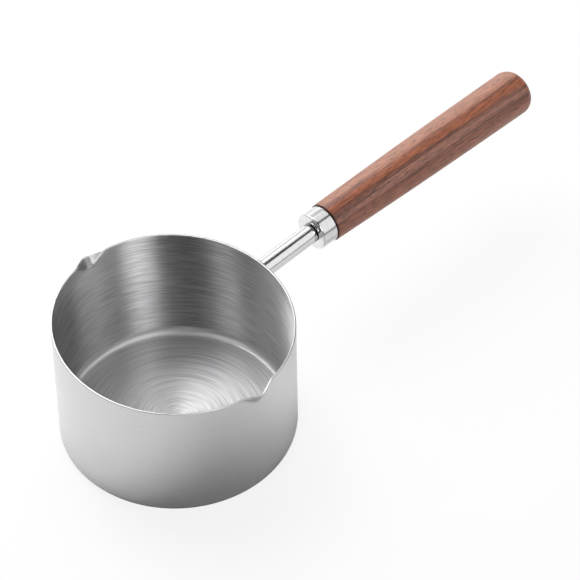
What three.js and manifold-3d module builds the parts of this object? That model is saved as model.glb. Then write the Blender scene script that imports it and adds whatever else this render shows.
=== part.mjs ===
// A small pouring pan: a drawn steel pot with two pressed lips, a rod stem welded under the rim,
// a ferrule, and a turned wooden grip that screws onto the rod's threaded end.
// Millimetres, +Z up. The origin is the middle of the pot's flat base, and the handle points along +X.
import * as THREE from "three";
import { mergeVertices } from "three/addons/utils/BufferGeometryUtils.js";
import Module from "manifold-3d";

// Pot: outside radius, height, sheet thickness, the bend between wall and base, and the rim's eased edges
const POT_RADIUS = 45;
const POT_HEIGHT = 54;
const SHEET = 0.8;
const BASE_BEND = 2.5;
const RIM_EASE = 0.2;
// Pressing the lips springs the rim oval: longer across the lips and shorter along the handle by this much
const RIM_OVAL = 1.2;

// Pouring lips: one each side of the pot, at this bearing in degrees from the handle. Each is a beak that
// narrows downwards, with a rounded ridge, and creases eased over this share of its reach
const LIP_BEARING = 91;
const LIP_REACH = 2.2;
const LIP_WIDTH = 10;
const LIP_DEPTH = 5.5;
const LIP_DIP = 0.7;
const LIP_RIDGE = 2;
const LIP_CREASE = 0.25;

// Stem: a round rod, welded to the wall under the rim, that rises by a few degrees to the ferrule
const ROD_DIAMETER = 7.8;
const STEM_LENGTH = 26.3;
const STEM_RISE = 3;
const WELD_LEG = 0.8;
const WELD_BELOW_RIM = 0.1;

// Threaded end of the rod: the shoulder it steps down by, its length, its thread and its bevelled point
const STUD_SHOULDER = 0.9;
const STUD_LENGTH = 17;
const STUD_NECK = 2.5;
const STUD_BEVEL = 0.8;
const THREAD_PITCH = 1;
const THREAD_DEPTH = 0.55;

// Threaded insert pressed into the grip, with barbs round it
const INSERT_WALL = 1;
const INSERT_LENGTH = 11;
const BARB_HEIGHT = 0.35;
const BARBS = 4;

// Ferrule: a turned cup over the grip's spigot
const SPIGOT_WALL = 1.3;
const FERRULE_SKIRT = 1.2;
const FERRULE_LENGTH = 6.8;
const FERRULE_FACE = 1.6;
const FERRULE_EDGE = 0.8;
const FERRULE_BACK_EDGE = 0.25;

// Grip: the step up from the ferrule, its length, its fullest diameter and its swell past a straight taper
const GRIP_STEP = 0.4;
const GRIP_LENGTH = 107.5;
const GRIP_DIAMETER = 18.3;
const GRIP_SWELL = 0.25;
const GRIP_FRONT_EASE = 0.4;
const GRIP_END_ROUND = 5;
const GRIP_END_CROWN = 1;
const BORE_SPARE = 3;

// Clearance kept between two pieces that seat on each other
const GAP = 0.3;

// Facets and rows, and how strongly the pot's facets crowd towards its lips
const POT_FACETS = 96;
const LIP_CROWDING = 0.28;
const LIP_ROWS = 6;
const BEND_STEPS = 4;
const ROUND_FACETS = 40;
const GRIP_ROWS = 8;
const THREAD_FACETS = 12;
const ROWS_PER_PITCH = 4;

// Sizes that follow from those above
const rod = ROD_DIAMETER / 2;
const stud = rod - STUD_SHOULDER;
const threadBore = stud + GAP;
const insert = threadBore + INSERT_WALL;
const insertSeat = insert + GAP;
const spigot = insertSeat + SPIGOT_WALL;
const ferruleCup = spigot + GAP;
const ferrule = ferruleCup + FERRULE_SKIRT;
const gripFront = ferrule + GRIP_STEP;

// Places along the grip's axis, counted from the ferrule's front face
const spigotEnd = FERRULE_FACE + GAP;
const gripShoulder = FERRULE_LENGTH + GAP;
const gripTip = gripShoulder + GRIP_LENGTH;
const insertEnd = spigotEnd + INSERT_LENGTH;
const boreEnd = Math.max(STUD_LENGTH, insertEnd + GAP) + BORE_SPARE;

const wasm = await Module();
wasm.setup();

const { degToRad, lerp } = THREE.MathUtils;
const evenly = (count, place) => Array.from({ length: count + 1 }, (_, i) => place(i / count));

// A closed geometry as a solid that can be joined and cut
function solidOf(geometry) {
  geometry.deleteAttribute("normal");
  geometry.deleteAttribute("uv");
  const merged = mergeVertices(geometry, 1e-4);
  const corners = merged.index.array;
  const triVerts = [];
  for (let i = 0; i < corners.length; i += 3) {
    const [a, b, c] = corners.slice(i, i + 3);
    // A turned profile that starts on its axis leaves triangles with no area there
    if (a !== b && b !== c && c !== a) triVerts.push(a, b, c);
  }
  const mesh = new wasm.Mesh({
    numProp: 3,
    vertProperties: merged.attributes.position.array,
    triVerts: Uint32Array.from(triVerts),
  });
  return new wasm.Manifold(mesh);
}

// A solid back as a geometry
function geometryOf(solid) {
  const mesh = solid.getMesh();
  const geometry = new THREE.BufferGeometry();
  geometry.setAttribute("position", new THREE.BufferAttribute(mesh.vertProperties, 3));
  geometry.setIndex(new THREE.BufferAttribute(mesh.triVerts, 1));
  geometry.computeVertexNormals();
  return geometry;
}

// A profile of [radius, height] points, counter-clockwise, turned about +Z
function turned(profile, facets) {
  const points = profile.map(([radius, height]) => new THREE.Vector2(radius, height));
  return new THREE.LatheGeometry(points, facets).rotateX(Math.PI / 2);
}

// Points of a profile along an arc, both ends included, with angles in degrees
function arc(centreRadius, centreHeight, radius, from, to) {
  return evenly(BEND_STEPS, (share) => {
    const angle = degToRad(lerp(from, to, share));
    return [centreRadius + radius * Math.cos(angle), centreHeight + radius * Math.sin(angle)];
  });
}

function steel(roughness) {
  return new THREE.MeshStandardMaterial({ color: 0xc4c6c8, metalness: 1, roughness });
}

function piece(name, geometry, material) {
  const mesh = new THREE.Mesh(geometry, material);
  mesh.name = name;
  return mesh;
}

// 1 at the tip of a lip, falling down its ridge and both its sides, to 0 past its eased creases
function lipShare(bearing, height) {
  const offset = Math.abs(Math.abs(bearing) - degToRad(LIP_BEARING)) * POT_RADIUS;
  const aside = (Math.hypot(offset, LIP_RIDGE) - LIP_RIDGE) / (LIP_WIDTH / 2);
  const below = Math.max(0, POT_HEIGHT - height) / LIP_DEPTH;
  const share = 1 - aside - below;
  if (share > LIP_CREASE) return share;
  return Math.max(0, share + LIP_CREASE) ** 2 / (4 * LIP_CREASE);
}

// How far the lips and the oval rim move the drawn wall outwards at a bearing and height
function pressedOutwards(bearing, height) {
  const upTheWall = Math.max(0, height - BASE_BEND) / (POT_HEIGHT - BASE_BEND);
  const oval = -RIM_OVAL * Math.cos(2 * bearing) * upTheWall;
  return oval + LIP_REACH * lipShare(bearing, height);
}

// A turned cup with its facets crowded towards the lips, sprung oval and pressed out at the lips
function pressed(cup) {
  const position = cup.attributes.position;
  const point = new THREE.Vector3();
  for (let i = 0; i < position.count; i++) {
    point.fromBufferAttribute(position, i);
    const turn = Math.atan2(point.y, point.x);
    const bearing = turn + LIP_CROWDING * Math.sin(2 * turn);
    const radius = Math.hypot(point.x, point.y) + pressedOutwards(bearing, point.z);
    const height = point.z - LIP_DIP * lipShare(bearing, point.z);
    position.setXYZ(i, radius * Math.cos(bearing), radius * Math.sin(bearing), height);
  }
  return cup;
}

// Heights of the wall's rows, from the foot of the lips up to the eased rim
function lipHeights() {
  const foot = POT_HEIGHT - LIP_DEPTH * (1 + LIP_CREASE);
  return evenly(LIP_ROWS, (share) => lerp(foot, POT_HEIGHT - RIM_EASE, share));
}

// The drawn cup: base, bend, wall, eased rim, and the same again inside
function potGeometry() {
  const inside = POT_RADIUS - SHEET;
  const bendAt = POT_RADIUS - BASE_BEND;
  const profile = [
    [0, 0],
    ...arc(bendAt, BASE_BEND, BASE_BEND, -90, 0),
    ...lipHeights().map((height) => [POT_RADIUS, height]),
    [POT_RADIUS - RIM_EASE, POT_HEIGHT],
    [inside + RIM_EASE, POT_HEIGHT],
    ...lipHeights().toReversed().map((height) => [inside, height]),
    ...arc(bendAt, BASE_BEND, BASE_BEND - SHEET, 0, -90),
    [0, SHEET],
  ];
  return pressed(turned(profile, POT_FACETS));
}

// The pot filled in, grown by the clearance and carried past the rim: it shapes what stands at the wall
function potRoom() {
  const top = POT_HEIGHT + ROD_DIAMETER;
  const heights = [0, BASE_BEND, ...lipHeights(), top];
  const wall = heights.map((height) => [POT_RADIUS + GAP, height]);
  return solidOf(pressed(turned([[0, 0], ...wall, [0, top]], POT_FACETS)));
}

// Where the rod's axis meets the wall and the ferrule, with +Z along the stem and along the level grip
const weldHeight = POT_HEIGHT - WELD_BELOW_RIM - WELD_LEG - rod;
const weldPoint = new THREE.Vector3(POT_RADIUS + pressedOutwards(0, weldHeight), 0, weldHeight);
const stemFrame = new THREE.Matrix4().makeRotationY(degToRad(90 - STEM_RISE)).setPosition(weldPoint);
const ferrulePoint = new THREE.Vector3(0, 0, STEM_LENGTH).applyMatrix4(stemFrame);
const gripFrame = new THREE.Matrix4().makeRotationY(degToRad(90)).setPosition(ferrulePoint);

// Heights of the thread's rows between two places, at the same shares of the pitch on stud and insert
function threadHeights(low, high) {
  const step = THREAD_PITCH / ROWS_PER_PITCH;
  const first = Math.ceil(low / step);
  const last = Math.floor(high / step);
  return evenly(last - first, (share) => step * lerp(first, last, share));
}

// A turned blank whose rows from first to last are moved onto a helical ridge of triangular section
function threaded(blank, rowCount, first, last, crest) {
  const position = blank.attributes.position;
  for (let i = 0; i < position.count; i++) {
    const row = i % rowCount;
    if (row < first || row > last) continue;
    const angle = Math.atan2(position.getY(i), position.getX(i));
    const turns = position.getZ(i) / THREAD_PITCH - angle / (2 * Math.PI);
    const radius = crest - THREAD_DEPTH * Math.abs(2 * (turns - Math.floor(turns)) - 1);
    position.setXY(i, radius * Math.cos(angle), radius * Math.sin(angle));
  }
  return blank;
}

// The rod's threaded end: a neck from inside the rod through the ferrule, the thread, and a bevelled point
function studGeometry() {
  const root = stud - THREAD_DEPTH;
  const rows = threadHeights(STUD_NECK, STUD_LENGTH - STUD_BEVEL);
  const before = [[0, -rod], [root, -rod], [root, STUD_NECK - THREAD_PITCH / 2]];
  const profile = [
    ...before,
    ...rows.map((height) => [stud, height]),
    [root - STUD_BEVEL, STUD_LENGTH],
    [0, STUD_LENGTH],
  ];
  const first = before.length;
  return threaded(turned(profile, THREAD_FACETS), profile.length, first, first + rows.length - 1, stud);
}

// The rod: shaped to the wall at one end and squared off at the ferrule, with the stud on its end
function stemGeometry() {
  const past = STEM_LENGTH + ROD_DIAMETER;
  const bar = turned([[0, -ROD_DIAMETER], [rod, -ROD_DIAMETER], [rod, past], [0, past]], ROUND_FACETS);
  const side = 3 * ROD_DIAMETER;
  const squareOff = new THREE.BoxGeometry(side, side, side).translate(0, 0, side / 2 - GAP);
  const body = solidOf(bar.applyMatrix4(stemFrame))
    .subtract(potRoom())
    .subtract(solidOf(squareOff.applyMatrix4(gripFrame)));
  return geometryOf(body.add(solidOf(studGeometry().applyMatrix4(gripFrame))));
}

// The weld: a quarter-round fillet of metal about the rod, shaped to the wall
function weldGeometry() {
  const inner = rod + GAP;
  const fillet = arc(inner, GAP, WELD_LEG - GAP, 0, 90);
  const outer = rod + WELD_LEG;
  const ring = turned([[inner, -rod], [outer, -rod], ...fillet, [inner, -rod]], ROUND_FACETS);
  return geometryOf(solidOf(ring.applyMatrix4(stemFrame)).subtract(potRoom()));
}

// The ferrule: a cup with its face to the stem, bored for the stud and open towards the grip
function ferruleGeometry() {
  const profile = [
    [threadBore, 0],
    ...arc(ferrule - FERRULE_EDGE, FERRULE_EDGE, FERRULE_EDGE, -90, 0),
    [ferrule, FERRULE_LENGTH - FERRULE_BACK_EDGE],
    [ferrule - FERRULE_BACK_EDGE, FERRULE_LENGTH],
    [ferruleCup, FERRULE_LENGTH],
    [ferruleCup, FERRULE_FACE],
    [threadBore, FERRULE_FACE],
    [threadBore, 0],
  ];
  return turned(profile, ROUND_FACETS);
}

// The grip: a spigot inside the ferrule, a swelling taper, a crowned end, and a bore for insert and stud
function gripGeometry() {
  const full = GRIP_DIAMETER / 2;
  const fullest = gripTip - GRIP_END_CROWN - GRIP_END_ROUND;
  const taper = evenly(GRIP_ROWS, (share) => [
    lerp(gripFront, full, share) + GRIP_SWELL * Math.sin(Math.PI * share),
    lerp(gripShoulder + GRIP_FRONT_EASE, fullest, share),
  ]);
  const profile = [
    [insertSeat, spigotEnd],
    [spigot, spigotEnd],
    [spigot, gripShoulder],
    [gripFront - GRIP_FRONT_EASE, gripShoulder],
    ...taper,
    ...arc(full - GRIP_END_ROUND, fullest, GRIP_END_ROUND, 0, 90).slice(1),
    [0, gripTip],
    [0, boreEnd],
    [threadBore, boreEnd],
    [threadBore, insertEnd + GAP],
    [insertSeat, insertEnd + GAP],
    [insertSeat, spigotEnd],
  ];
  return turned(profile, ROUND_FACETS);
}

// The insert: a barbed sleeve, threaded inside to match the stud
function insertGeometry() {
  const barb = INSERT_LENGTH / BARBS;
  const feet = evenly(BARBS - 1, (share) => lerp(spigotEnd, insertEnd - barb, share));
  const outside = feet.flatMap((foot) => [[insert, foot], [insert - BARB_HEIGHT, foot + barb]]);
  const rows = threadHeights(spigotEnd + THREAD_PITCH, insertEnd - THREAD_PITCH).toReversed();
  const before = [[threadBore, spigotEnd], ...outside, [threadBore, insertEnd]];
  const profile = [...before, ...rows.map((height) => [threadBore, height]), [threadBore, spigotEnd]];
  const first = before.length;
  const blank = turned(profile, THREAD_FACETS);
  return threaded(blank, profile.length, first, first + rows.length - 1, threadBore);
}

// The handle's pieces share the grip's axis
const handle = new THREE.Group();
handle.applyMatrix4(gripFrame);
const brass = new THREE.MeshStandardMaterial({ color: 0xb08d4a, metalness: 1, roughness: 0.35 });
const rosewood = new THREE.MeshStandardMaterial({ color: 0x8f5240, metalness: 0, roughness: 0.5 });
handle.add(piece("ferrule", ferruleGeometry(), steel(0.14)));
handle.add(piece("threaded_insert", insertGeometry(), brass));
handle.add(piece("grip", gripGeometry(), rosewood));

const pan = new THREE.Group();
pan.add(piece("pot", potGeometry(), steel(0.38)));
pan.add(piece("weld_bead", weldGeometry(), steel(0.45)));
pan.add(piece("stem", stemGeometry(), steel(0.16)));
pan.add(handle);

export default pan;
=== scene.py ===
# %% [markdown]
# A small pouring pan: a drawn stainless pot with two pressed lips, a polished rod welded under its rim,
# a polished ferrule and a turned rosewood grip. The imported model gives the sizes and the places, and this
# script gives every piece its finished surface, piece by piece, in the same frame and in metres.

# %% Load the frame
import math

import bmesh
import bpy
from mathutils import Matrix, Vector


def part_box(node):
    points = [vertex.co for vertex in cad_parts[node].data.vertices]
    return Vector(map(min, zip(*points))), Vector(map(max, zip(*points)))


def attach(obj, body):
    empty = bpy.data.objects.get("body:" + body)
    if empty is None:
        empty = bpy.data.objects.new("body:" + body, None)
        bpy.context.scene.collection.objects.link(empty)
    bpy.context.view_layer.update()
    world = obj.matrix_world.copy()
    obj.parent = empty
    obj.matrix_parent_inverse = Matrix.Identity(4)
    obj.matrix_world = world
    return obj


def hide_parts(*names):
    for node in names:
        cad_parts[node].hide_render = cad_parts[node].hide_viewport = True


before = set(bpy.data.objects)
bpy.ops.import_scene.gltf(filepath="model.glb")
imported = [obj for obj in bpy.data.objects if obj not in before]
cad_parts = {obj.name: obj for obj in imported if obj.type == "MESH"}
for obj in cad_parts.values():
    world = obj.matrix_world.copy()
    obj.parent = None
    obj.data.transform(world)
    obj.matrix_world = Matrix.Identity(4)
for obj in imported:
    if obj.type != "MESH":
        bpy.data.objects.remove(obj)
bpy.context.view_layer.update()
MM = 0.001
print("nodes:", sorted(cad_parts))

# %% [markdown]
# The camera comes first, because everything else is judged through it. The pan is seen from well above,
# with a long lens from over a metre away, so its upright edges stay nearly parallel. An aim point, two
# angles, a small roll and a distance place the camera, which is easier to adjust than a bare matrix.

# %% Camera
AIM = Vector((46.64, -12.85, 46.1)) * MM
VIEW_BEARING = -42.96
VIEW_HEIGHT = 46.63
VIEW_ROLL = -1.08
VIEW_DISTANCE = 1192.4 * MM
LENS = 199.0

across, above = math.radians(VIEW_BEARING), math.radians(VIEW_HEIGHT)
back = Vector((math.sin(across) * math.cos(above), -math.cos(across) * math.cos(above), math.sin(above)))
right = Vector((0, 0, 1)).cross(back).normalized()
facing = Matrix((right, back.cross(right), back)).transposed()
camera = bpy.data.objects.new("camera", bpy.data.cameras.new("camera"))
camera.data.lens = LENS
roll = Matrix.Rotation(math.radians(VIEW_ROLL), 3, "Z")
camera.matrix_world = Matrix.Translation(AIM + back * VIEW_DISTANCE) @ (facing @ roll).to_4x4()
bpy.context.scene.collection.objects.link(camera)
bpy.context.scene.camera = camera
print("camera at", [round(v, 3) for v in camera.matrix_world.translation])

# %% [markdown]
# Every piece of this pan is a turned or drawn form, so one helper makes them all: it carries a profile of
# (radius, height) points round an axis and joins the rings with quads. A Screw modifier could do that too,
# but here each point passes through a function of the piece's own, which presses lips into the pot or bends
# the rod. A profile that starts or ends on the axis closes there with a fan.

# %% Revolve a profile
def revolve(name, profile, columns, place, slots=None, closed=False):
    mesh = bpy.data.meshes.new(name)
    piece = bpy.data.objects.new(name, mesh)
    bpy.context.scene.collection.objects.link(piece)
    bm = bmesh.new()
    turns = [math.tau * i / columns for i in range(columns)]
    rings = []
    for radius, height in profile:
        count = turns if radius > 0 else turns[:1]
        rings.append([bm.verts.new(place(turn, radius, height)) for turn in count])
    pairs = list(zip(rings, rings[1:] + rings[:1]))
    for row, (low, high) in enumerate(pairs if closed else pairs[:-1]):
        for i in range(columns):
            j = (i + 1) % columns
            corners = [low[i % len(low)], low[j % len(low)], high[j % len(high)], high[i % len(high)]]
            face = bm.faces.new(list(dict.fromkeys(corners)))
            face.smooth = True
            face.material_index = slots[row] if slots else 0
    bmesh.ops.recalc_face_normals(bm, faces=bm.faces)
    bm.to_mesh(mesh)
    bm.free()
    print(name, "faces:", len(mesh.polygons))
    return piece


def steps(count, first, last):
    return [first + (last - first) * i / count for i in range(count + 1)]


def arc(radius, height, size, first, last, count):
    angles = [math.radians(a) for a in steps(count, first, last)]
    return [(radius + size * math.cos(a), height + size * math.sin(a)) for a in angles]


# %% [markdown]
# The pot is one disc of sheet drawn into a cup. Two beaks are pressed outwards at its rim, each with a
# rounded ridge and eased creases, and pressing them springs the rim slightly oval, longer across the lips.
# All of that is a push outwards that depends on the bearing round the pot and the height, so the cup is
# revolved and each point is pushed as it is made. Sculpting would do by eye, but a formula keeps the
# sheet's thickness and makes both lips alike.

# %% Pressed wall of the pot
POT_RADIUS = 45 * MM
POT_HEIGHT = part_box("pot")[1].z
SHEET = 0.8 * MM
BASE_BEND = 2.5 * MM
RIM_OVAL = 1.2 * MM
LIP_BEARING = math.radians(91)
LIP_REACH = 2.18 * MM
LIP_WIDTH = 10 * MM
LIP_DEPTH = 5.5 * MM
LIP_DIP = 0.7 * MM
LIP_RIDGE = 2 * MM
LIP_CREASE = 0.25
LIP_CROWDING = 0.28


def lip_share(bearing, height):
    offset = abs(abs(bearing) - LIP_BEARING) * POT_RADIUS
    aside = (math.hypot(offset, LIP_RIDGE) - LIP_RIDGE) / (LIP_WIDTH / 2)
    share = 1 - aside - max(0, POT_HEIGHT - height) / LIP_DEPTH
    if share > LIP_CREASE:
        return share
    return max(0, share + LIP_CREASE) ** 2 / (4 * LIP_CREASE)


def pressed_outwards(bearing, height):
    up_the_wall = max(0, height - BASE_BEND) / (POT_HEIGHT - BASE_BEND)
    return -RIM_OVAL * math.cos(2 * bearing) * up_the_wall + LIP_REACH * lip_share(bearing, height)


def pressed(turn, radius, height):
    bearing = math.remainder(turn, math.tau)
    bearing += LIP_CROWDING * math.sin(2 * bearing)
    radius += pressed_outwards(bearing, height) if radius else 0
    height -= LIP_DIP * lip_share(bearing, height)
    return radius * math.cos(bearing), radius * math.sin(bearing), height


over_the_lips = 2 * (POT_RADIUS + pressed_outwards(LIP_BEARING, POT_HEIGHT))
print("rim across the lips:", round(over_the_lips / MM, 1), "mm")

# %% [markdown]
# One closed profile gives the pot its inside and outside: base, bend, wall, rim, and the same again inside.
# Its rows lie closer together where the lips and the bends need them. The six surfaces of the sheet were
# finished differently, so each group of rows keeps a material slot of its own. The base's slot runs a little
# way up its bend. Its darker tone is a painted shade there, standing in for the shadowed table that the bend
# mirrors, so it shows as a thin darker line.

# %% Pot
RIM_ROUND = SHEET * 0.42
FLOOR_BEND = 3 * MM
# How far up the bend the base's slot, with its painted shade, reaches, in degrees along the bend's arc.
PAINTED_SHADE_UP_TO = -15
POT_COLUMNS = 360
bend_at = POT_RADIUS - BASE_BEND
inside = POT_RADIUS - SHEET
lip_foot = POT_HEIGHT - LIP_DEPTH * (1 + LIP_CREASE)
rim_foot = POT_HEIGHT - RIM_ROUND
floor_rings = steps(10, 0, bend_at)
wall_heights = steps(8, BASE_BEND, lip_foot) + steps(24, lip_foot, rim_foot)[1:]
base_rows = [(r, 0) for r in floor_rings] + arc(bend_at, BASE_BEND, BASE_BEND, -90, PAINTED_SHADE_UP_TO, 10)[1:]
outside_rows = arc(bend_at, BASE_BEND, BASE_BEND, PAINTED_SHADE_UP_TO, 0, 4)[1:]
outside_rows += [(POT_RADIUS, h) for h in wall_heights[1:]]
rim_rows = arc(POT_RADIUS - RIM_ROUND, rim_foot, RIM_ROUND, 0, 90, 5)[1:]
rim_rows += arc(inside + RIM_ROUND, rim_foot, RIM_ROUND, 90, 180, 5)
inside_rows = [(inside, h) for h in wall_heights[-2:0:-1]] + [(inside, SHEET + FLOOR_BEND)]
bend_rows = arc(inside - FLOOR_BEND, SHEET + FLOOR_BEND, FLOOR_BEND, 0, -90, 12)[1:]
floor_rows = [(r, SHEET) for r in floor_rings[-2::-1]]
pot_rows = [base_rows, outside_rows, rim_rows, inside_rows, bend_rows, floor_rows]
pot_slots = [slot for slot, rows in enumerate(pot_rows) for _ in rows]
pot = revolve("pot_finished", sum(pot_rows, []), POT_COLUMNS, pressed, pot_slots[1:])

# %% [markdown]
# The stem is a round bar. It leaves the wall with a slight rise and is bent level just where it enters the
# ferrule, because the grip itself lies level. So the handle has two axes that meet at the ferrule's front
# face, and a function for each places a ring of points on it.

# %% Axes of the handle
STEM_RISE = math.radians(3)
ROD = 3.9 * MM
ferrule_box, grip_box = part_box("ferrule"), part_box("grip")
FERRULE_FRONT = Vector((ferrule_box[0].x, 0, (ferrule_box[0].z + ferrule_box[1].z) / 2))
stem_axis = Vector((math.cos(STEM_RISE), 0, math.sin(STEM_RISE)))


def on_level_axis(turn, radius, height):
    return FERRULE_FRONT + Vector((height, radius * math.cos(turn), radius * math.sin(turn)))


def on_stem_axis(turn, radius, height):
    upright = Vector((-stem_axis.z, 0, stem_axis.x))
    side = Vector((0, radius * math.cos(turn), 0))
    return FERRULE_FRONT + stem_axis * height + side + upright * radius * math.sin(turn)


def wall_reach(point):
    bearing = math.atan2(point.y, point.x)
    wall = POT_RADIUS + pressed_outwards(bearing, point.z)
    return math.sqrt(wall**2 - point.y**2)


print("handle axes meet at", [round(v / MM, 1) for v in FERRULE_FRONT], "mm")

# %% [markdown]
# At one end the bar is shaped to the wall, and at the other it steps down to a threaded stud, where the
# thread is a helical ridge: its radius rises and falls once in every turn and pitch. The stud is out of
# sight inside the grip, but it is there, so that the piece is whole when the handle is unscrewed.

# %% Stem
SEAT = 0.3 * MM
STUD = 3.0 * MM
STUD_LENGTH = 17 * MM
STUD_NECK = 2.5 * MM
STUD_BEVEL = 0.8 * MM
THREAD_PITCH = 1 * MM
THREAD_DEPTH = 0.55 * MM
INTO_WALL = 0.4 * MM
SHAPED_AWAY = 2 * MM
SHAPED_END = 2.5 * MM
PLAIN_END = 1 * MM
STEM_EDGE = 0.25 * MM
ROD_COLUMNS = 64
ROWS_OF_THREAD = 110


def bent_rod(turn, radius, height):
    if height > -SEAT:
        if STUD_NECK < height < STUD_LENGTH - STUD_BEVEL and radius > 0:
            turns = height / THREAD_PITCH - turn / math.tau
            radius = STUD - THREAD_DEPTH * abs(2 * (turns - math.floor(turns)) - 1)
        return on_level_axis(turn, radius, height)
    point = on_stem_axis(turn, radius, height)
    reach = wall_reach(point) - INTO_WALL
    if point.x < reach:
        point += stem_axis * (reach - point.x) / stem_axis.x
    return point


stem_length = FERRULE_FRONT.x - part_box("stem")[0].x + SHAPED_AWAY
stem_rows = [(0, -stem_length), (ROD, -stem_length)]
stem_rows += [(ROD, h) for h in steps(24, -stem_length + SHAPED_END, -PLAIN_END)]
stem_rows += arc(ROD - STEM_EDGE, -SEAT - STEM_EDGE, STEM_EDGE, 0, 90, 4)
neck = STUD - THREAD_DEPTH
stem_rows += [(neck, -SEAT), (neck, STUD_NECK)]
stem_rows += [(STUD, h) for h in steps(ROWS_OF_THREAD, STUD_NECK, STUD_LENGTH - STUD_BEVEL)[1:-1]]
stem_rows += [(neck, STUD_LENGTH - STUD_BEVEL), (neck - STUD_BEVEL, STUD_LENGTH), (0, STUD_LENGTH)]
stem = revolve("stem_finished", stem_rows, ROD_COLUMNS, bent_rod)

# %% [markdown]
# A fusion weld holds the stem to the wall. Its bead is a small fillet with overlapping ripples, one for each
# dab of filler. The fillet's section is a short curve from the wall to the rod, carried round the joint, and
# a cosine of the bearing raises the ripples.

# %% Weld bead
WELD_LEG = 0.8 * MM
RIPPLES = 22
RIPPLE_HEIGHT = 0.08 * MM
COLUMNS_PER_RIPPLE = 8


def welded(turn, radius, height):
    ripple = RIPPLE_HEIGHT * math.cos(RIPPLES * turn) if radius > ROD else 0
    point = on_stem_axis(turn, radius + ripple, 0)
    point += stem_axis * (wall_reach(point) - point.x) / stem_axis.x
    return point + stem_axis * (height + ripple)


fillet = arc(ROD + WELD_LEG, WELD_LEG, WELD_LEG, -90, -180, 8)
weld_rows = [(ROD - SEAT, -SEAT), (ROD + WELD_LEG, -SEAT)] + fillet + [(ROD - SEAT, WELD_LEG)]
weld = revolve("weld_finished", weld_rows, COLUMNS_PER_RIPPLE * RIPPLES, welded, closed=True)

# %% [markdown]
# The ferrule is turned from bar and polished: a cup with a flat face to the stem, a rounded front edge, and
# a hollow that takes the grip's spigot. Its profile is a closed loop round the metal of the cup's wall.

# %% Ferrule
FERRULE = (ferrule_box[1].y - ferrule_box[0].y) / 2
FERRULE_LENGTH = ferrule_box[1].x - ferrule_box[0].x
FERRULE_EDGE = 0.5 * MM
FERRULE_BACK_EDGE = 0.25 * MM
FERRULE_FACE = 1.6 * MM
FERRULE_SKIRT = 1.2 * MM
FERRULE_CUP = FERRULE - FERRULE_SKIRT
FERRULE_BORE = STUD + SEAT
TURNED_COLUMNS = 96
ferrule_rows = [(FERRULE_BORE, 0)] + [(r, 0) for r in steps(4, ROD, FERRULE - FERRULE_EDGE)[:-1]]
ferrule_rows += arc(FERRULE - FERRULE_EDGE, FERRULE_EDGE, FERRULE_EDGE, -90, 0, 8)
back_edge = FERRULE_LENGTH - FERRULE_BACK_EDGE
ferrule_rows += [(FERRULE, h) for h in steps(12, FERRULE_EDGE, back_edge)[1:-1]]
ferrule_rows += arc(FERRULE - FERRULE_BACK_EDGE, back_edge, FERRULE_BACK_EDGE, 0, 90, 5)
ferrule_rows += [(FERRULE_CUP, FERRULE_LENGTH), (FERRULE_CUP, FERRULE_FACE), (FERRULE_BORE, FERRULE_FACE)]
ferrule = revolve("ferrule_finished", ferrule_rows, TURNED_COLUMNS, on_level_axis, closed=True)

# %% [markdown]
# The grip is turned from one billet of rosewood. It swells gently towards its far end and is rounded over
# there. Inside are a spigot for the ferrule and a stepped bore for the insert and the stud. The profile
# runs from the bottom of the bore out over the spigot and along the outside to the crowned tip.

# %% Grip
GRIP = (grip_box[1].y - grip_box[0].y) / 2
GRIP_STEP = 0.4 * MM
GRIP_FRONT = FERRULE + GRIP_STEP
GRIP_SWELL = 0.25 * MM
GRIP_FRONT_EASE = 0.4 * MM
GRIP_END_ROUND = 5 * MM
GRIP_END_CROWN = 1 * MM
BORE_SPARE = 3 * MM
insert_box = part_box("threaded_insert")
INSERT_SEAT = (insert_box[1].y - insert_box[0].y) / 2 + SEAT
insert_end = insert_box[1].x - FERRULE_FRONT.x + SEAT
bore_end = STUD_LENGTH + BORE_SPARE
spigot = FERRULE_CUP - SEAT
spigot_end = FERRULE_FACE + SEAT
shoulder = FERRULE_LENGTH + SEAT
tip = grip_box[1].x - FERRULE_FRONT.x
fullest = tip - GRIP_END_CROWN - GRIP_END_ROUND
taper_from = shoulder + GRIP_FRONT_EASE
grip_rows = [(0, bore_end), (FERRULE_BORE, bore_end), (FERRULE_BORE, insert_end), (INSERT_SEAT, insert_end)]
grip_rows += [(INSERT_SEAT, spigot_end), (spigot, spigot_end), (spigot, shoulder)]
grip_rows += arc(GRIP_FRONT - GRIP_FRONT_EASE, taper_from, GRIP_FRONT_EASE, -90, 0, 5)
for share in steps(40, 0, 1)[1:]:
    swollen = GRIP_FRONT + (GRIP - GRIP_FRONT) * share + GRIP_SWELL * math.sin(math.pi * share)
    grip_rows.append((swollen, taper_from + (fullest - taper_from) * share))
grip_rows += arc(GRIP - GRIP_END_ROUND, fullest, GRIP_END_ROUND, 0, 90, 14)[1:]
for share in steps(6, 1, 0)[1:]:
    crown = GRIP_END_CROWN * (1 - share**2)
    grip_rows.append(((GRIP - GRIP_END_ROUND) * share, tip - GRIP_END_CROWN + crown))
grip = revolve("grip_finished", grip_rows, TURNED_COLUMNS, on_level_axis)

# %% [markdown]
# Each finished piece stands in for the solid of the same name, and all of them ride on the pan's only body.
# The threaded insert is the one solid that stays as it is: it is hidden in the wood, and its shape is right.

# %% Ride and replace
for piece, node, slot in (
    (pot, "pot", "satin_stainless"),
    (stem, "stem", "polished_stainless"),
    (weld, "weld_bead", "weld_metal"),
    (ferrule, "ferrule", "polished_stainless"),
    (grip, "grip", "rosewood"),
):
    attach(piece, "root")
    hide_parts(node)
    print(piece.name, "replaces", node)

# %% [markdown]
# Colours are written as the hex values that a paint program shows. Blender computes in linear light, so one
# function turns a hex value into linear numbers. A second one adds a shader node: it sets the node's own
# settings, fills its inputs with values, and makes a link where it is given another node's output.

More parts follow.
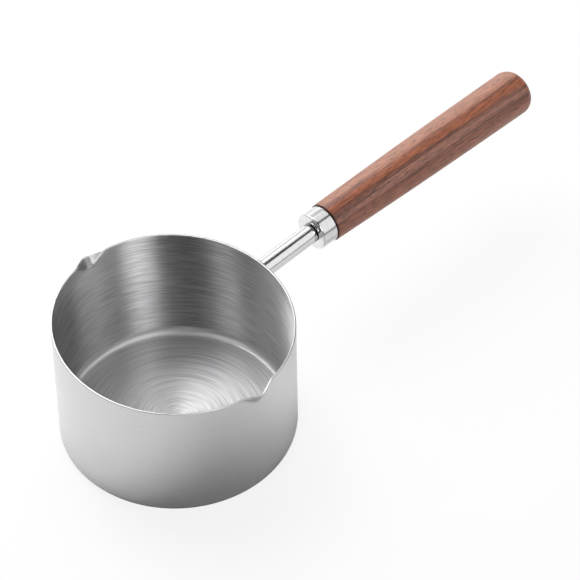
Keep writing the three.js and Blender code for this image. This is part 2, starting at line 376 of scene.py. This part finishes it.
# %% Colours and nodes
def linear(hex_colour):
    shares = [int(hex_colour[i : i + 2], 16) / 255 for i in (1, 3, 5)]
    return [v / 12.92 if v <= 0.04045 else ((v + 0.055) / 1.055) ** 2.4 for v in shares] + [1]


def add(tree, kind, inputs=None, **settings):
    node = tree.nodes.new(kind)
    for name, value in settings.items():
        setattr(node, name, value)
    for name, value in (inputs or {}).items():
        if isinstance(value, bpy.types.NodeSocket):
            tree.links.new(value, node.inputs[name])
        else:
            node.inputs[name].default_value = value
    return node


def new_material(name):
    material = bpy.data.materials.new(name)
    material.use_nodes = True
    material.node_tree.nodes.clear()
    return material, material.node_tree


print("mid grey #808080 in linear light:", round(linear("#808080")[0], 3))

# %% [markdown]
# Every metal surface of this pan was finished while it turned, so its fine lines run round an axis. A line
# pattern that follows the turning needs coordinates that do so too: the direction from the axis, which
# changes slowly round the piece, and the way along the profile, which is the height less the distance from
# the axis. Noise in those coordinates is drawn out into lines. Unwrapping the pot could do that for the
# wall, but it would pinch at the middle of the floor.

# %% Marks of turning
def turning_marks(tree, width, arcs, centre=(0, 0, 0), lean=0):
    place = add(tree, "ShaderNodeTexCoord").outputs["Object"]
    placing = {"Vector": place, "Location": centre, "Rotation": (0, lean, 0)}
    place = add(tree, "ShaderNodeMapping", placing, vector_type="TEXTURE").outputs[0]
    flat = add(tree, "ShaderNodeVectorMath", {0: place, 1: (1, 1, 0)}, operation="MULTIPLY").outputs[0]
    reach = add(tree, "ShaderNodeVectorMath", {0: flat}, operation="LENGTH").outputs["Value"]
    outwards = add(tree, "ShaderNodeVectorMath", {0: flat}, operation="NORMALIZE").outputs[0]
    height = add(tree, "ShaderNodeSeparateXYZ", {0: place}).outputs["Z"]
    profile = add(tree, "ShaderNodeMath", {0: height, 1: reach}, operation="SUBTRACT").outputs[0]
    rows = add(tree, "ShaderNodeMath", {0: profile, 1: width}, operation="DIVIDE").outputs[0]
    rows = add(tree, "ShaderNodeCombineXYZ", {"Z": rows}).outputs[0]
    spot = {0: outwards, 1: (arcs, arcs, arcs), 2: rows}
    spot = add(tree, "ShaderNodeVectorMath", spot, operation="MULTIPLY_ADD").outputs[0]
    return add(tree, "ShaderNodeTexNoise", {"Vector": spot, "Scale": 1, "Detail": 1}).outputs["Fac"]


# %% [markdown]
# The pot's metal is stainless steel throughout, a neutral grey mirror, and only the way that each surface was
# finished tells one from another. A brushed metal is a mirror with fine grooves, so light spreads across the
# grooves and hardly along them. The shader's anisotropy does that without modelling a groove. It needs a
# tangent that runs round the pot, which the Tangent node gives about the middle of the mesh's texture space,
# so that space is set square on the pot's axis. The marks then vary the colour, the roughness and the relief.

# %% Turned metal
LEAST_MARK, MOST_MARK = 0.3, 0.7
ROUND_THE_AXIS = 0.25

pot.data.use_auto_texspace = False
pot.data.texspace_location = (0, 0, POT_HEIGHT / 2)
pot.data.texspace_size = (POT_RADIUS,) * 3


def turned_metal(name, tones, roughness, relief, width, arcs, grooved=0, axis="Z", **turning):
    material, tree = new_material(name)
    marks = turning_marks(tree, width * MM, arcs, **turning)
    tone = add(tree, "ShaderNodeValToRGB", {"Fac": marks})
    for stop, position, colour in zip(tone.color_ramp.elements, (LEAST_MARK, MOST_MARK), tones):
        stop.position, stop.color = position, linear(colour)
    spread = {"Value": marks, 1: LEAST_MARK, 2: MOST_MARK, 3: roughness[0], 4: roughness[1]}
    spread = add(tree, "ShaderNodeMapRange", spread).outputs[0]
    raised = {"Height": marks, "Distance": relief * MM, "Strength": 1}
    raised = add(tree, "ShaderNodeBump", raised).outputs[0]
    tangent = add(tree, "ShaderNodeTangent", direction_type="RADIAL", axis=axis).outputs[0]
    metal = {"Base Color": tone.outputs["Color"], "Metallic": 1, "Roughness": spread, "Normal": raised}
    metal |= {"Anisotropic": grooved, "Anisotropic Rotation": ROUND_THE_AXIS, "Tangent": tangent}
    metal = add(tree, "ShaderNodeBsdfPrincipled", metal).outputs["BSDF"]
    add(tree, "ShaderNodeOutputMaterial", {"Surface": metal})
    print("finish:", name)
    return material


# %% [markdown]
# Each finish below is a pair of tones, a range of roughness, the depth of its lines and their spacing in
# millimetres, the number of separate arcs that a line breaks into on each radian, and how grooved the surface
# is, from 0 to 1. Real brush lines lie about 0.05 mm apart. That is too fine to show here, so they are drawn
# about ten times coarser, which keeps the lines as the eye finds them close up.

# %% Finishes of the pot
pot_finishes = (
    # Stainless steel base and the foot of its bend: duller than the wall, and darker by a painted shade for
    # the shadowed table that the bend mirrors
    ("ground_stainless_base", ("#a4a4a5", "#b6b6b7"), (0.42, 0.5), 0.002, 0.4, 3, 0.3),
    # Belt-satined stainless steel: a soft, blurred mirror of the table, without lines that the eye can count
    ("satin_stainless_outside", ("#d1d1d2", "#d5d5d6"), (0.29, 0.31), 0.0003, 0.5, 3, 0.3),
    # Stainless sheet, trimmed and deburred: a dull bright line round the rim
    ("deburred_stainless_rim", ("#c0c0c1", "#cacacb"), (0.36, 0.42), 0.001, 0.3, 6, 0),
    # Stainless steel brushed with a pad as the pot spins: bands of light down the wall, fine lines round it
    ("brushed_stainless_inside", ("#b2b2b3", "#dadadb"), (0.4, 0.46), 0.0024, 0.45, 4, 1),
    # Stainless steel burnished by the drawing punch: a thin bright ring where wall and floor meet
    ("drawn_stainless_corner", ("#d6d6d7", "#e2e2e3"), (0.44, 0.5), 0.001, 0.5, 3, 0),
    # Stainless steel turned with a coarse pad: rings, and a highlight that fans out across them
    ("turned_stainless_floor", ("#bebebf", "#e6e6e7"), (0.48, 0.54), 0.006, 0.52, 1, 0.5),
)
for finish in pot_finishes:
    pot.data.materials.append(turned_metal(*finish))

# %% [markdown]
# The metals of the handle were turned about its own axis, so the same function serves, with its axis laid
# along the handle. Buffing on a cloth wheel removes nearly all the lines: what is left is a roughness low
# enough for sharp streaks of light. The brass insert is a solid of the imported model, and takes its finish as
# it is.

# %% Finishes of the handle
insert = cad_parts["threaded_insert"]
insert.data.materials.clear()
handle_axis = {"centre": FERRULE_FRONT, "lean": math.radians(90), "axis": "X"}
handle_finishes = (
    # Buffed stainless bar: a near mirror, with long bright streaks and one dark one
    (stem, "buffed_stainless_bar", ("#d9d9da", "#e4e4e4"), (0.13, 0.17), 0.0002, 0.5, 3),
    # Turned and polished stainless steel: bright all round, with the same dark streak as the bar
    (ferrule, "polished_stainless_ferrule", ("#d4d4d5", "#dfdfe0"), (0.14, 0.18), 0.0003, 0.5, 3),
    # Stainless weld metal, cleaned with a wire brush: greyer and uneven
    (weld, "wire_brushed_weld_metal", ("#a8a8a9", "#c2c2c3"), (0.25, 0.4), 0.01, 0.5, 5),
    # Free-cutting brass as it leaves the lathe: yellow, with the lines of the tool
    (insert, "machined_brass", ("#a98543", "#c7a55e"), (0.22, 0.34), 0.004, 0.4, 3),
)
for piece, *finish in handle_finishes:
    piece.data.materials.append(turned_metal(*finish, **handle_axis))

# %% [markdown]
# The grip is rosewood, turned, sanded and oiled. Across its growth layers the wood changes from pale to dark
# brown every few millimetres, and along the grain it hardly changes at all. The billet was sawn along the
# grain, so the layers show as long streaks. A coordinate that counts depth across the layers is the start,
# and noise that is stretched along the grain lets them wander. The pattern goes right through the solid, so
# the rounded end shows the same layers cut across.

# %% Layers of the rosewood
GRAIN_TILT = (math.radians(50), math.radians(0.5), math.radians(0.8))
LAYERS_FACE = math.radians(35)
WANDER = 0.5
wood, tree = new_material("oiled_rosewood")
place = add(tree, "ShaderNodeTexCoord").outputs["Object"]


def along_the_grain(length, width, thickness, detail):
    placing = {"Vector": place, "Location": FERRULE_FRONT, "Rotation": GRAIN_TILT}
    placing["Scale"] = [size * MM for size in (length, width, thickness)]
    spot = add(tree, "ShaderNodeMapping", placing, vector_type="TEXTURE").outputs[0]
    return add(tree, "ShaderNodeTexNoise", {"Vector": spot, "Scale": 1, "Detail": detail}).outputs["Fac"]


inwards = Vector((0, -math.cos(LAYERS_FACE), -math.sin(LAYERS_FACE))) / (2 * GRIP)
depth = add(tree, "ShaderNodeVectorMath", {0: place, 1: inwards}, operation="DOT_PRODUCT").outputs["Value"]
wander = {0: along_the_grain(90, 1.3, 5, 3), 1: WANDER, 2: depth}
depth = add(tree, "ShaderNodeMath", wander, operation="MULTIPLY_ADD").outputs[0]
middle = FERRULE_FRONT.dot(inwards) + WANDER / 2
layers = {"Value": depth, 1: middle - 0.5, 2: middle + 0.5, 3: 0, 4: 1}
layers = add(tree, "ShaderNodeMapRange", layers).outputs[0]
print("rosewood layers across", round(2 * GRIP / MM, 1), "mm")

# %% [markdown]
# A colour ramp turns the depth into the colours of the layers, from the pale brown of one side of the grip,
# through a reddish layer between two dark lines, to the greyer brown of the other side.

# %% Colours of the rosewood
layer_colours = (
    (0, "#9f6850"), (0.2, "#a2694f"), (0.28, "#7a4837"), (0.34, "#9a5a3e"), (0.44, "#94563c"),
    (0.5, "#623729"), (0.56, "#94604d"), (0.66, "#8b5948"), (0.73, "#61382d"), (0.82, "#85523f"),
    (1, "#8a5743"),
)
tone = add(tree, "ShaderNodeValToRGB", {"Fac": layers})
ramp = tone.color_ramp
while len(ramp.elements) < len(layer_colours):
    ramp.elements.new(0.5)
for stop, (position, colour) in zip(ramp.elements, layer_colours):
    stop.position, stop.color = position, linear(colour)
print("rosewood colours:", len(ramp.elements))

# %% [markdown]
# Fibres and open pores break up the layers. Real fibres are hundredths of a millimetre wide and pores about
# 0.2 mm, too fine to show, so both are drawn 0.36 mm wide. A painted shade darkens the wood within 0.6 mm of
# the ferrule, standing in for the shadow in the seam between the two parts.
# The three shades multiply the layers' colour and also give the surface its slight relief. The oil leaves a
# soft sheen, with the usual IOR of a finish on wood, 1.5, which is the shader's default.

# %% Surface of the rosewood
STRAND = 0.36
PAINTED_SEAM_SHADE_WIDTH = 0.6 * MM
EDGE_SHADE = 0.25
GRAIN_RELIEF = 0.02 * MM
OILED_ROUGHNESS = 0.45
fibres = {"Value": along_the_grain(6, STRAND, STRAND, 2), 1: 0.3, 2: 0.7, 3: 0.62, 4: 1.4}
fibres = add(tree, "ShaderNodeMapRange", fibres).outputs[0]
pores = {"Value": along_the_grain(2.4, STRAND, STRAND, 0), 1: 0.26, 2: 0.38, 3: 0.45, 4: 1}
pores = add(tree, "ShaderNodeMapRange", pores).outputs[0]
# Painted shade: the wood is darkened just behind the ferrule, for the shadow in the seam.
joint = FERRULE_FRONT.x + shoulder
edge = {"Value": add(tree, "ShaderNodeSeparateXYZ", {0: place}).outputs["X"]}
edge |= {1: joint, 2: joint + PAINTED_SEAM_SHADE_WIDTH, 3: EDGE_SHADE, 4: 1}
edge = add(tree, "ShaderNodeMapRange", edge).outputs[0]
shade = add(tree, "ShaderNodeMath", {0: fibres, 1: pores}, operation="MULTIPLY").outputs[0]
shade = add(tree, "ShaderNodeMath", {0: shade, 1: edge}, operation="MULTIPLY").outputs[0]
colour = {0: tone.outputs["Color"], "Scale": shade}
colour = add(tree, "ShaderNodeVectorMath", colour, operation="SCALE").outputs[0]
raised = {"Height": shade, "Distance": GRAIN_RELIEF, "Strength": 1}
raised = add(tree, "ShaderNodeBump", raised).outputs[0]
oiled = {"Base Color": colour, "Roughness": OILED_ROUGHNESS, "Normal": raised}
oiled = add(tree, "ShaderNodeBsdfPrincipled", oiled).outputs["BSDF"]
add(tree, "ShaderNodeOutputMaterial", {"Surface": oiled})
grip.data.materials.append(wood)
print("finish:", wood.name)

# %% [markdown]
# The pan stands on a plain white table of matt card. A camera ray meets mostly a white glow there, so the
# ground stays white without any more light on the pan, and the rest is lit card, which keeps the pan's
# shadow. Rays that the metal mirrors see a little of the glow too, but mainly the lit card with its shadow,
# because that shadow is what shades the front of the pot.

# %% White table
scene = bpy.context.scene
scene.view_settings.view_transform = "Standard"
GLOW_SEEN = 0.87
GLOW_MIRRORED = 0.07
TABLE_REACH = 3
BELOW_BASE = 0.05 * MM
corners = ((-1, -1), (1, -1), (1, 1), (-1, 1))
table_corners = [(x * TABLE_REACH, y * TABLE_REACH, -BELOW_BASE) for x, y in corners]
floor_mesh = bpy.data.meshes.new("floor")
floor_mesh.from_pydata(table_corners, [], [(0, 1, 2, 3)])
floor = bpy.data.objects.new("floor", floor_mesh)
scene.collection.objects.link(floor)
white, tree = new_material("white_card_table")
path = add(tree, "ShaderNodeLightPath").outputs
card = add(tree, "ShaderNodeBsdfDiffuse", {"Color": linear("#f4f4f4")}).outputs[0]
glow = add(tree, "ShaderNodeEmission", {"Color": linear("#ffffff"), "Strength": 1}).outputs[0]
seen = {0: path["Is Camera Ray"], 1: path["Is Transmission Ray"]}
seen = add(tree, "ShaderNodeMath", seen, operation="MAXIMUM").outputs[0]
mirrored = {0: path["Is Glossy Ray"], 1: GLOW_MIRRORED}
mirrored = add(tree, "ShaderNodeMath", mirrored, operation="MULTIPLY").outputs[0]
share = {0: seen, 1: GLOW_SEEN, 2: mirrored}
share = add(tree, "ShaderNodeMath", share, operation="MULTIPLY_ADD").outputs[0]
mixed = add(tree, "ShaderNodeMixShader", {0: share, 1: card, 2: glow}).outputs[0]
add(tree, "ShaderNodeOutputMaterial", {"Surface": mixed})
floor_mesh.materials.append(white)
print("table:", GLOW_SEEN, "glow seen,", GLOW_MIRRORED, "glow mirrored")

# %% [markdown]
# Brushed metal looks like the room round it: each bright band down the inside of the pot is a lamp at another
# bearing, and the dark bands are the gaps between lamps. So the room is dim by itself, and softboxes stand
# round the pan at the bearings that the bands ask for. Each is given by the bearing and the height at which
# it is seen from the pan, its width and height as angles in degrees, and its brightness, where 1 is white
# paper. An area lamp's power follows from its size and that brightness.

# %% Softboxes
ROOM_LIGHT = 0.05
LAMP_DISTANCE = 1.2
scene.world = bpy.data.worlds.new("studio")
scene.world.use_nodes = True
room = scene.world.node_tree.nodes["Background"]
room.inputs["Color"].default_value = linear("#ffffff")
room.inputs["Strength"].default_value = ROOM_LIGHT


def across_angle(angle):
    return 2 * LAMP_DISTANCE * math.tan(math.radians(angle / 2))


def softbox(name, bearing, height, wide, tall, brightness, lights_only=None):
    lamp = bpy.data.lights.new(name, "AREA")
    lamp.shape = "RECTANGLE"
    lamp.size, lamp.size_y = across_angle(wide), across_angle(tall)
    lamp.energy = math.pi * lamp.size * lamp.size_y * brightness
    holder = bpy.data.objects.new(name, lamp)
    round_the_pan = Matrix.Rotation(math.radians(bearing + 90), 4, "Z")
    up_from_level = Matrix.Rotation(math.radians(90 - height), 4, "X")
    holder.matrix_world = round_the_pan @ up_from_level @ Matrix.Translation((0, 0, LAMP_DISTANCE))
    holder.light_linking.receiver_collection = lights_only
    scene.collection.objects.link(holder)
    print("lamp", name, [round(v, 2) for v in holder.matrix_world.translation])


# %% [markdown]
# One key lamp lights everything and throws the shadow. A photographer then flags the other lamps, so that the
# brushed pot, the mirror-like rod, the wood and the table each get the light that suits them. Light linking
# does that here: a lamp with a collection lights only what is in it.

# %% Lamps
def lit_group(name, pieces):
    group = bpy.data.collections.new(name)
    for piece in pieces:
        group.objects.link(piece)
    return group


table = lit_group("table", (floor,))
pot_only = lit_group("pot_only", (pot,))
handle_steel = lit_group("handle_steel", (stem, weld, ferrule))
handle = lit_group("handle", (stem, weld, ferrule, grip))
wood_only = lit_group("wood_only", (grip,))
softbox("key", 86, 50, 29, 40, 5.6)
softbox("table_light", 56, 63, 40, 44, 4.25, table)
softbox("pot_key_side", 74, 36, 32, 44, 0.9, pot_only)
softbox("pot_high", 100, 67, 30, 24, 3.3, pot_only)
softbox("pot_left", 175, 41, 17, 30, 2.4, pot_only)
softbox("pot_strip", 253, 21, 29, 24, 3.4, pot_only)
softbox("pot_strip_top", 257, 45, 13, 26, 3.7, pot_only)
softbox("pot_right_low", 300, 19, 54, 22, 1.2, pot_only)
softbox("pot_lip_card", 339, 8, 24, 12, 1.5, pot_only)
softbox("pot_right", 308, 42, 28, 24, 2.0, pot_only)
softbox("pot_right_high", 280, 66, 16, 24, 1.4, pot_only)
softbox("handle_key_side", 58, 48, 28, 36, 0.7, handle_steel)
softbox("handle_window", 74, 17, 68, 28, 1.3, handle_steel)
softbox("handle_back_card", 24, 20, 36, 24, 2.4, handle_steel)
softbox("handle_top_card", 27, 58, 40, 18, 1.0, handle_steel)
softbox("handle_overhead", 90, 82, 30, 24, 1.1, handle_steel)
softbox("handle_far_card", 165, 38, 90, 56, 0.3, handle_steel)
softbox("handle_strip", 257, 37, 19, 28, 5.8, handle)
softbox("handle_card", 308, 31, 44, 52, 1.05, handle_steel)
softbox("grip_light", 50, 30, 44, 52, 2.7, wood_only)
softbox("grip_fill", 308, 31, 44, 52, 1.7, wood_only)
